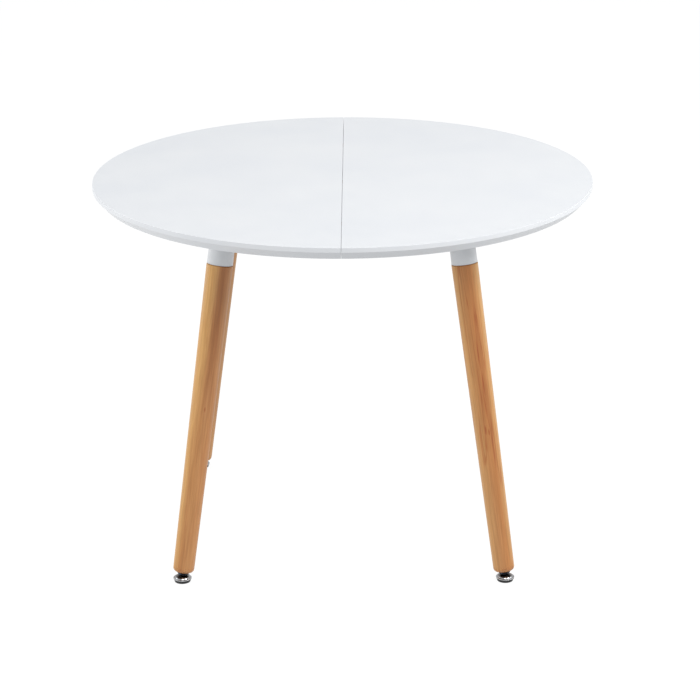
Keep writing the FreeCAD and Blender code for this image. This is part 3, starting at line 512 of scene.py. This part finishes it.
class Shape:
    """A mesh built from rings of points."""

    def __init__(self):
        self.vertices = []
        self.faces = []

    def rings(self, rings, closed):
        """Skin over rings of equal length: joined end to end, or capped at both ends."""
        first = len(self.vertices)
        count = len(rings[0])
        for ring in rings:
            self.vertices.extend(ring)
        last = len(rings) if closed else len(rings) - 1
        for row in range(last):
            here = first + row * count
            there = first + (row + 1) % len(rings) * count
            for step in range(count):
                after = (step + 1) % count
                self.faces.append((here + step, here + after, there + after, there + step))
        if not closed:
            top = first + (len(rings) - 1) * count
            self.faces.append(tuple(range(first, first + count))[::-1])
            self.faces.append(tuple(range(top, top + count)))
        return self

    def turned(self, profile, place, steps, closed=True, reach=None):
        """Profile of (radius, height) turned about Z; reach may change a radius by its angle."""
        rings = []
        for radius, height in profile:
            ring = []
            for step in range(steps):
                angle = math.tau * step / steps
                wide = reach(radius, height, angle) if reach else radius
                point = Vector((wide * math.cos(angle), wide * math.sin(angle), height))
                ring.append(place @ point)
            rings.append(ring)
        return self.rings(rings, closed)

    def made(self, name, finish, slot, body, *nodes, origin=Matrix()):
        """The finished piece: it rides on a body and may stand for CAD nodes."""
        mesh = bpy.data.meshes.new(name)
        back = origin.inverted()
        mesh.from_pydata([back @ vertex for vertex in self.vertices], [], self.faces)
        tidy = bmesh.new()
        tidy.from_mesh(mesh)
        bmesh.ops.remove_doubles(tidy, verts=tidy.verts, dist=SAME_POINT / 10)
        bmesh.ops.recalc_face_normals(tidy, faces=tidy.faces)
        tidy.to_mesh(mesh)
        tidy.free()
        mesh.shade_smooth()
        mesh.set_sharp_from_angle(angle=math.radians(SHARP_ABOVE))
        mesh.materials.append(finish)
        piece = bpy.data.objects.new(name, mesh)
        piece.matrix_world = origin
        bpy.context.scene.collection.objects.link(piece)
        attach(piece, body)
        if nodes:
            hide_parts(*nodes)
        return piece


def bend(centre, radius, start, stop, steps=5):
    """Points of an arc in a profile, from one angle to another in degrees."""
    points = []
    for step in range(steps + 1):
        angle = math.radians(start + (stop - start) * step / steps)
        points.append((centre[0] + radius * math.cos(angle), centre[1] + radius * math.sin(angle)))
    return points


def points_from(origin, offsets):
    """Points of a profile, given by their offsets from one place."""
    return [(origin[0] + out, origin[1] + up) for out, up in offsets]


def scaled(profile):
    """Profile in millimetres turned into metres."""
    return [(radius * MM, height * MM) for radius, height in profile]


# ---------------------------------------------------------------- feet

# Sizes of a foot in millimetres. LEG_END and BALL_HEIGHT are heights above the floor. The thread has
# THREAD_ROWS rings of points in each turn.
LEG_END = 20.0
SCREW_DEPTH = 22.0
NUT_GAP = 0.5
NUT_THICK = 5.5
NUT_FLATS = 19.0
NUT_CHAMFER = 0.9
THREAD_RADIUS = 3.93
THREAD_DEPTH = 0.62
THREAD_PITCH = 1.25
THREAD_ROWS = 6
NECK_RADIUS = 3.0
BALL_RADIUS = 4.8
BALL_HEIGHT = 6.2
# The dish's socket for the ball: its radius, its height above the dish's base, and its mouth.
SOCKET_RADIUS = 5.2
SOCKET_HEIGHT = 4.5
SOCKET_MOUTH = 4.4
MOUTH_BEND = 0.6
# The dome over the socket: the radius where its flat top ends, its bend and the angle that the bend
# starts at (degrees), and the radius inside which the dish's colour is a painted dark reflection; outside it, a
# painted bright one.
DOME_SHOULDER = 9.0
DOME_BEND = 2.2
DOME_START = 12
DOME_REFLECTION_RADIUS = 12.0
# The radius of the brim's rolled edge, how far below the rim its outer face ends, and the underside's
# corner (offsets from the foot of its wall). The flange runs from the rim to the dome (offsets from
# the rim).
BRIM_BEND = 0.4
BRIM_DEPTH = 1.3
DISH_CORNER = ((-2.4, 0.0), (-1.0, 0.7), (0.0, 1.6))
DISH_FLANGE = ((-1.3, -0.75), (-2.6, -0.95), (-4.2, -0.8), (-4.8, -0.4), (-5.2, 0.4))
# The part of a CAD dish's radius that counts as its rim.
RIM_BAND = 1.2
# The pad: its hole, the ring groove under it, its lower bend, the rib on its side (offsets from the
# side), its flare (offsets from the rim's radius and the dish's base), the wall round the dish, how
# far its top edge stays inside and below the brim, the corner that the dish sits in (offsets from the
# foot of the dish's wall), and its gap to the dish.
PAD_HOLE = 5.5
PAD_GROOVE = ((8.8, 0.0), (9.0, 0.5), (10.2, 0.5), (10.4, 0.0))
PAD_BEND = 0.9
PAD_RIB = ((0.0, 1.8), (-0.35, 2.0), (0.1, 2.3))
PAD_FLARE = ((-1.2, 0.0), (-0.3, 1.0))
PAD_WALL = 1.0
PAD_TUCK = 0.1
PAD_CORNER = ((0.03, 1.57), (-1.0, 0.65), (-2.4, -0.03))
PAD_GAP = 0.03
# Steps round the turned pieces of a foot: wide ones and thin ones.
WIDE_STEPS = 72
THIN_STEPS = 24


def hexagon_reach(radius, _, angle):
    """Radius cut to the flats of the foot screw's hexagon."""
    sixth = math.tau / 6
    off_flat = (angle % sixth) - sixth / 2
    return min(radius, NUT_FLATS * MM / 2 / math.cos(off_flat))


def thread_reach(radius, height, angle):
    """Radius cut into a right-handed V thread."""
    phase = (height / (THREAD_PITCH * MM) - angle / math.tau) % 1.0
    return radius - THREAD_DEPTH * MM * abs(2 * phase - 1)


def make_foot_screw(leg, finish):
    """Threaded stem, chamfered hexagon, neck and ball, as one piece."""
    shape = Shape()
    place = leg_place(leg, LEG_END * MM)
    under = -NUT_GAP - NUT_THICK
    corner = NUT_FLATS / math.sqrt(3)
    face = NUT_FLATS / 2
    hexagon = [
        (0, under),
        (face, under),
        (corner, under + NUT_CHAMFER),
        (corner, -NUT_GAP - NUT_CHAMFER),
        (face, -NUT_GAP),
        (0, -NUT_GAP),
    ]
    shape.turned(scaled(hexagon), place, WIDE_STEPS, closed=False, reach=hexagon_reach)
    rows = int(SCREW_DEPTH / THREAD_PITCH * THREAD_ROWS)
    stem = [(THREAD_RADIUS, -NUT_GAP + SCREW_DEPTH * row / rows) for row in range(rows + 1)]
    shape.turned(scaled(stem), place, THIN_STEPS, closed=False, reach=thread_reach)
    ball = (leg_place(leg, BALL_HEIGHT * MM).translation - place.translation).length / MM
    neck_turn = math.degrees(math.acos(NECK_RADIUS / BALL_RADIUS))
    neck = [(NECK_RADIUS, under)] + bend((0, -ball), BALL_RADIUS, neck_turn, -90, steps=12)
    shape.turned(scaled(neck), place, THIN_STEPS, closed=False)
    name = f"{leg}_levelling_screw"
    origin = Matrix.Translation(place.translation)
    shape.made(name, finish, "dark_chrome", f"{leg}_screw", f"{leg}_foot_screw", origin=origin)


def high_rim(leg):
    """Height of the dish's rim: of the points furthest from its middle, the highest."""
    mesh = frame["nodes"][f"{leg}_foot_dish"].data
    middle = foot_place(leg).translation
    reach = [((vertex.co - middle).to_2d().length, vertex.co.z) for vertex in mesh.vertices]
    widest = max(distance for distance, _ in reach)
    return max(height for distance, height in reach if distance > widest - RIM_BAND * MM)


def dish_sizes(leg):
    """Radius of a leg's CAD dish, and the heights of its base, dome and rim, in millimetres."""
    low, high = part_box(f"{leg}_foot_dish")
    return (high.x - low.x) / 2 / MM, low.z / MM, high.z / MM, high_rim(leg) / MM


def make_dish(leg, finish):
    """Pressed dish with a thin upturned brim, and the dome that holds the ball."""
    rim, base, dome, lip = dish_sizes(leg)
    profile = [(SOCKET_RADIUS, base)] + points_from((rim - PAD_WALL, base), DISH_CORNER)
    profile += [(rim, lip - BRIM_DEPTH)]
    profile += bend((rim - BRIM_BEND, lip - BRIM_BEND), BRIM_BEND, 0, 180)
    profile += points_from((rim, lip), DISH_FLANGE)
    profile += bend((DOME_SHOULDER, dome - DOME_BEND), DOME_BEND, DOME_START, 90)
    profile += bend((SOCKET_MOUTH + MOUTH_BEND, dome - MOUTH_BEND), MOUTH_BEND, 90, 180, steps=3)
    profile += [(SOCKET_MOUTH, base + SOCKET_HEIGHT), (SOCKET_RADIUS, base + SOCKET_HEIGHT)]
    place = foot_place(leg)
    shape = Shape().turned(scaled(profile), place, WIDE_STEPS)
    body = f"{leg}_foot"
    shape.made(f"{leg}_pressed_dish", finish, "chrome", body, f"{leg}_foot_dish", origin=place)


def make_pad(leg, finish):
    """Rubber pad with a ribbed side and a ring groove under it, turned up round the dish."""
    rim, base, _, lip = dish_sizes(leg)
    low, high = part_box(f"{leg}_foot_pad")
    side = (high.x - low.x) / 2 / MM
    profile = [(PAD_HOLE, 0.0), *PAD_GROOVE]
    profile += bend((side - PAD_BEND, PAD_BEND), PAD_BEND, -90, 0)
    profile += points_from((side, 0.0), PAD_RIB) + points_from((rim, base), PAD_FLARE)
    profile += [(rim - PAD_TUCK, lip - BRIM_DEPTH - PAD_TUCK)]
    profile += points_from((rim - PAD_WALL, base), PAD_CORNER) + [(PAD_HOLE, base - PAD_GAP)]
    place = foot_place(leg)
    shape = Shape().turned(scaled(profile), place, WIDE_STEPS)
    body = f"{leg}_foot"
    shape.made(f"{leg}_rubber_pad", finish, "rubber", body, f"{leg}_foot_pad", origin=place)


def make_feet(finishes):
    """Screw, dish and pad of every foot."""
    screw_finish = smoked_chrome()
    dish_finish = foot_chrome(DOME_REFLECTION_RADIUS * MM)
    for leg in LEGS:
        make_foot_screw(leg, screw_finish)
        make_dish(leg, dish_finish)
        make_pad(leg, finishes["rubber"])


# ---------------------------------------------------------------- sleeves

# Sizes of a sleeve in millimetres: how far down the leg's axis its mouth is, the mouth's radius, and
# the weld's height above the floor. The lip's and the weld's rings are given by how far they stand
# off the mouth's radius and by the radius of their own section; the lip also stands back from the mouth.
SLEEVE_MOUTH = 90.5
MOUTH_RADIUS = 25.4
LIP_INSET = 0.25
LIP_BACK = 0.9
LIP_RADIUS = 0.75
WELD_HEIGHT = 714.4
WELD_OUTSET = 0.2
WELD_RADIUS = 1.4
WELD_RIPPLE = 0.35
WELD_RIPPLES = 60
BEAD_STEPS = 240
BEAD_SIDES = 10


def bead(major, minor, place, ripple=0.0):
    """Ring about Z, given by its own radius and that of its section, which may ripple like a weld."""
    rings = []
    for step in range(BEAD_STEPS):
        angle = math.tau * step / BEAD_STEPS
        thick = minor * (1 + ripple * abs(math.sin(angle * WELD_RIPPLES / 2)))
        ring = []
        for turn in range(BEAD_SIDES):
            around = math.tau * turn / BEAD_SIDES
            wide = major + thick * math.cos(around)
            point = Vector((wide * math.cos(angle), wide * math.sin(angle), thick * math.sin(around)))
            ring.append(place @ (point * MM))
        rings.append(ring)
    return Shape().rings(rings, closed=True)


def make_sleeve_trim(finishes):
    """Rolled lip at each sleeve's mouth, and the weld that ties the sleeve to its plate."""
    for leg in LEGS:
        start, down = leg_axis(leg)
        turn = leg_place(leg, 0.0).to_3x3().to_4x4()
        mouth = Matrix.Translation(start + down * (SLEEVE_MOUTH - LIP_BACK) * MM) @ turn
        lip = bead(MOUTH_RADIUS - LIP_INSET, LIP_RADIUS, mouth)
        lip.made(f"{leg}_sleeve_lip", finishes["white_paint"], "white_paint", "frame")
        top = Matrix.Translation(leg_place(leg, WELD_HEIGHT * MM).translation)
        seam = bead(MOUTH_RADIUS + WELD_OUTSET, WELD_RADIUS, top, WELD_RIPPLE)
        seam.made(f"{leg}_sleeve_weld", finishes["white_paint"], "white_paint", "frame")


# ---------------------------------------------------------------- fasteners

FACING_UP = Matrix()
FACING_DOWN = Matrix.Rotation(math.pi, 4, "X")
# A head's outline, as shares of its radius and its height, up to where its cross begins.
HEAD_OUTLINE = ((1.0, 0.0), (1.0, 0.35), (0.93, 0.66), (0.75, 0.90))
HEAD_STEPS = 32
# The cross: how far its arms reach, as a share of the head's radius, the flat ring round them in
# millimetres, and its depth as a share of the head's height. Within CROSS_WALL of the reach the arms
# are sunk, and within CROSS_FLOOR of it the whole middle is. SLIVER is room for rounding errors.
CROSS_ARM = 0.58
CROSS_EDGE = 0.12
CROSS_DEPTH = 0.8
CROSS_WALL = 0.6
CROSS_FLOOR = 0.3
SLIVER = 0.01


def cross_head(shape, place, radius, height):
    """Domed head with a cross recess, facing the place's +Z and lying on its origin."""
    quarter = HEAD_STEPS // 4
    arm = CROSS_ARM * radius
    profile = [(wide * radius, up * height) for wide, up in HEAD_OUTLINE]
    profile += [(arm + CROSS_EDGE, height), (arm, height)]
    profile += [(CROSS_WALL * arm, height), (CROSS_FLOOR * arm, height), (0.0, height)]
    rings = []
    for wide, up in profile:
        ring = []
        for step in range(HEAD_STEPS):
            angle = math.tau * step / HEAD_STEPS
            in_arm = step % quarter in (quarter - 1, 0, 1) or wide <= (CROSS_FLOOR + SLIVER) * arm
            is_sunk = in_arm and wide <= (CROSS_WALL + SLIVER) * arm
            sunk = CROSS_DEPTH * height if is_sunk else 0.0
            point = Vector((wide * math.cos(angle), wide * math.sin(angle), up - sunk))
            ring.append(place @ (point * MM))
        rings.append(ring)
    shape.rings(rings, closed=False)


# Wood screws of the brackets, in millimetres.
PAN_HEAD = 2.2
SCREW_SHANK = 2.0
SCREW_TAPER = 4.0
SCREW_TIP = 0.3
SHANK_STEPS = 20


def make_top_screws(finish):
    """Pan head wood screws that hold the brackets, in place of the plain ones."""
    for side in ("left", "right"):
        shape = Shape()
        for low, high in islands(f"{side}_top_screws"):
            middle = (low + high) / 2
            head = (high.x - low.x) / 2 / MM
            seat = low.z + PAN_HEAD * MM
            place = Matrix.Translation((middle.x, middle.y, seat))
            cross_head(shape, place @ FACING_DOWN, head, PAN_HEAD)
            rise = (high.z - seat) / MM
            shank = [(SCREW_SHANK, 0.0), (SCREW_SHANK, rise - SCREW_TAPER), (SCREW_TIP, rise)]
            shape.turned(scaled(shank), place, SHANK_STEPS, closed=False)
        name = f"{side}_bracket_screws"
        shape.made(name, finish, "zinc_steel", f"{side}_half", f"{side}_top_screws")


# Screws of the locks: the plates' thickness, how far in from the end away from the seam they are,
# how far either side of the middle, as a share of the plate's width, and their heads, in millimetres.
PLATE_THICK = 2.0
PLATE_SCREW_IN = 7.0
PLATE_SCREW_SIDE = 0.32
PLATE_HEAD_RADIUS = 3.2
PLATE_HEAD_RISE = 0.9


def make_lock_screws(finish):
    """Low screw heads under the lock plates and the keepers."""
    for node, body, seamward in (("lock_plates", "left_half", 1), ("lock_keepers", "right_half", -1)):
        shape = Shape()
        for low, high in islands(node):
            end = low.x if seamward > 0 else high.x
            across = end + seamward * PLATE_SCREW_IN * MM
            middle = (low.y + high.y) / 2
            for sign in (-1, 1):
                along = middle + sign * PLATE_SCREW_SIDE * (high.y - low.y)
                place = Matrix.Translation((across, along, high.z - PLATE_THICK * MM))
                cross_head(shape, place @ FACING_DOWN, PLATE_HEAD_RADIUS, PLATE_HEAD_RISE)
        shape.made(f"{node}_screws", finish, "zinc_steel", body)


# Screws of the leaf's hinges, in millimetres: the plates' thickness, the screws' places from the
# plate's middle and from its front edge, and their heads.
HINGE_THICK = 1.3
HINGE_SCREW_SIDE = 15.0
HINGE_SCREW_IN = 9.0
HINGE_HEAD_RADIUS = 2.9
HINGE_HEAD_RISE = 0.5


def make_hinge_screws(finish):
    """Low screw heads on the hinge plates: under the upper ones, and on top of the lower ones."""
    for half, facing in (("upper", FACING_DOWN), ("lower", FACING_UP)):
        node = f"leaf_hinge_{half}_plates"
        shape = Shape()
        for low, high in islands(node):
            middle = (low.x + high.x) / 2
            level = high.z - HINGE_THICK * MM if half == "upper" else low.z + HINGE_THICK * MM
            for sign in (-1, 1):
                across = middle + sign * HINGE_SCREW_SIDE * MM
                place = Matrix.Translation((across, low.y + HINGE_SCREW_IN * MM, level))
                cross_head(shape, place @ facing, HINGE_HEAD_RADIUS, HINGE_HEAD_RISE)
        shape.made(f"{node}_screws", finish, "zinc_steel", "frame")


# The rivets' domed heads and their shanks, in millimetres.
RIVET_DOME = 2.0
RIVET_SHANK = 3.0
RIVET_STEPS = 32


def make_rivets(finish):
    """Domed rivets of the locks, in place of the plain ones."""
    shape = Shape()
    for low, high in islands("lock_pivots"):
        middle = (low + high) / 2
        place = Matrix.Translation((middle.x, middle.y, low.z))
        head = (high.x - low.x) / 2 / MM
        rise = (high.z - low.z) / MM
        profile = [(0.0, 0.0)] + bend((head - RIVET_DOME, RIVET_DOME), RIVET_DOME, -90, 0)
        profile += [(RIVET_SHANK, RIVET_DOME), (RIVET_SHANK, rise), (0.0, rise)]
        shape.turned(scaled(profile), place, RIVET_STEPS, closed=False)
    shape.made("domed_rivets", finish, "zinc_steel", "left_half", "lock_pivots")


# ---------------------------------------------------------------- camera, lights and floor


# The camera's place in metres, its lens in millimetres, and its angles in degrees: how far it is
# lifted from looking straight down, turned about the vertical, and rolled about its own view.
CAMERA_PLACE = (0.032, -4.577, 1.98)
CAMERA_LENS = 121.05
CAMERA_LIFT = 70.731
CAMERA_TURN = 0.233
CAMERA_ROLL = -0.281


def make_camera():
    """Camera at the photograph's viewing angle."""
    camera = bpy.data.cameras.new("camera")
    camera.sensor_width = 36.0
    camera.lens = CAMERA_LENS
    holder = bpy.data.objects.new("camera", camera)
    holder.location = CAMERA_PLACE
    aim = Euler((math.radians(CAMERA_LIFT), 0.0, math.radians(CAMERA_TURN))).to_matrix()
    roll = Matrix.Rotation(math.radians(CAMERA_ROLL), 3, "Z")
    holder.rotation_euler = (aim @ roll).to_euler()
    bpy.context.scene.collection.objects.link(holder)
    bpy.context.scene.camera = holder


WORLD_STRENGTH = 0.577
# Each soft box: its place, the place that it faces, its width and height (metres), its power (watts),
# and whether glossy surfaces mirror it. Mirrored, the left one whites out the top from the side.
SOFT_BOXES = {
    "top": ((0.0, 0.4, 3.4), (0.0, 0.0, 0.7), 2.6, 2.6, 18.0, True),
    "left": ((-3.2, -0.6, 0.9), (0.0, 0.0, 0.4), 0.8, 1.6, 26.0, False),
    "left_back": ((-2.9, 1.0, 0.9), (0.0, 0.0, 0.4), 0.8, 1.6, 9.0, True),
    "right_back": ((2.9, 1.0, 0.9), (0.0, 0.0, 0.4), 0.8, 1.6, 8.0, True),
    "front": ((0.3, -3.0, 3.6), (0.0, 0.0, 0.6), 2.4, 1.4, 28.0, True),
    "right_high": ((3.0, -1.4, 2.8), (0.0, 0.0, 0.7), 1.6, 1.6, 60.0, True),
}


def soft_box(name, location, target, wide, tall, power, mirrored):
    """Soft box at a place, turned towards a target."""
    light = bpy.data.lights.new(name, "AREA")
    light.shape = "RECTANGLE"
    light.size = wide
    light.size_y = tall
    light.energy = power
    box = bpy.data.objects.new(name, light)
    box.location = location
    aim = Vector(target) - Vector(location)
    box.rotation_euler = aim.to_track_quat("-Z", "Y").to_euler()
    box.visible_camera = False
    box.visible_glossy = mirrored
    bpy.context.scene.collection.objects.link(box)


def make_lights():
    """Even surroundings and the soft boxes."""
    world = bpy.data.worlds.new("studio")
    world.use_nodes = True
    background = world.node_tree.nodes["Background"]
    background.inputs["Color"].default_value = (0.96, 0.98, 1.0, 1.0)
    background.inputs["Strength"].default_value = WORLD_STRENGTH
    bpy.context.scene.world = world
    bpy.context.scene.view_settings.view_transform = "Standard"
    for name, settings in SOFT_BOXES.items():
        soft_box(name, *settings)


FLOOR_REACH = 15.0


def make_floor():
    """White floor that is seen, but doesn't light the table, and is clear from below."""
    mesh = bpy.data.meshes.new("floor")
    signs = ((-1, -1), (1, -1), (1, 1), (-1, 1))
    corners = [(across * FLOOR_REACH, along * FLOOR_REACH, 0) for across, along in signs]
    mesh.from_pydata(corners, [], [(0, 1, 2, 3)])
    floor = bpy.data.objects.new("floor", mesh)
    bpy.context.scene.collection.objects.link(floor)
    floor.visible_diffuse = False
    graph = Graph("floor")
    graph.look(Base_Color=(0.12, 0.12, 0.12, 1.0), Roughness=0.9, Specular_IOR_Level=0.0)
    graph.look(Emission_Color=(1.0, 1.0, 1.0, 1.0), Emission_Strength=0.93)
    clear = graph.add("BsdfTransparent")
    side = graph.add("NewGeometry")
    mix = graph.add("MixShader", Fac=side.outputs["Backfacing"])
    graph.tree.links.new(graph.shader.outputs[0], mix.inputs[1])
    graph.tree.links.new(clear.outputs[0], mix.inputs[2])
    graph.tree.links.new(mix.outputs[0], graph.tree.nodes["Material Output"].inputs["Surface"])
    mesh.materials.append(graph.material)


def make_backdrop():
    """White dome behind everything, seen by the camera only."""
    mesh = bpy.data.meshes.new("backdrop")
    dome = bmesh.new()
    bmesh.ops.create_icosphere(dome, subdivisions=4, radius=60.0)
    dome.to_mesh(mesh)
    dome.free()
    backdrop = bpy.data.objects.new("backdrop", mesh)
    bpy.context.scene.collection.objects.link(backdrop)
    backdrop.visible_diffuse = False
    backdrop.visible_glossy = False
    backdrop.visible_transmission = False
    backdrop.visible_volume_scatter = False
    backdrop.visible_shadow = False
    graph = Graph("backdrop")
    graph.look(Base_Color=(0.0, 0.0, 0.0, 1.0), Specular_IOR_Level=0.0)
    graph.look(Emission_Color=(1.0, 1.0, 1.0, 1.0), Emission_Strength=1.0)
    mesh.materials.append(graph.material)


all_finishes = slot_finishes()
finish_nodes(all_finishes)
make_feet(all_finishes)
make_sleeve_trim(all_finishes)
make_top_screws(all_finishes["zinc_steel"])
make_lock_screws(all_finishes["zinc_steel"])
make_hinge_screws(all_finishes["zinc_steel"])
make_rivets(all_finishes["zinc_steel"])
make_camera()
make_lights()
make_floor()
make_backdrop()
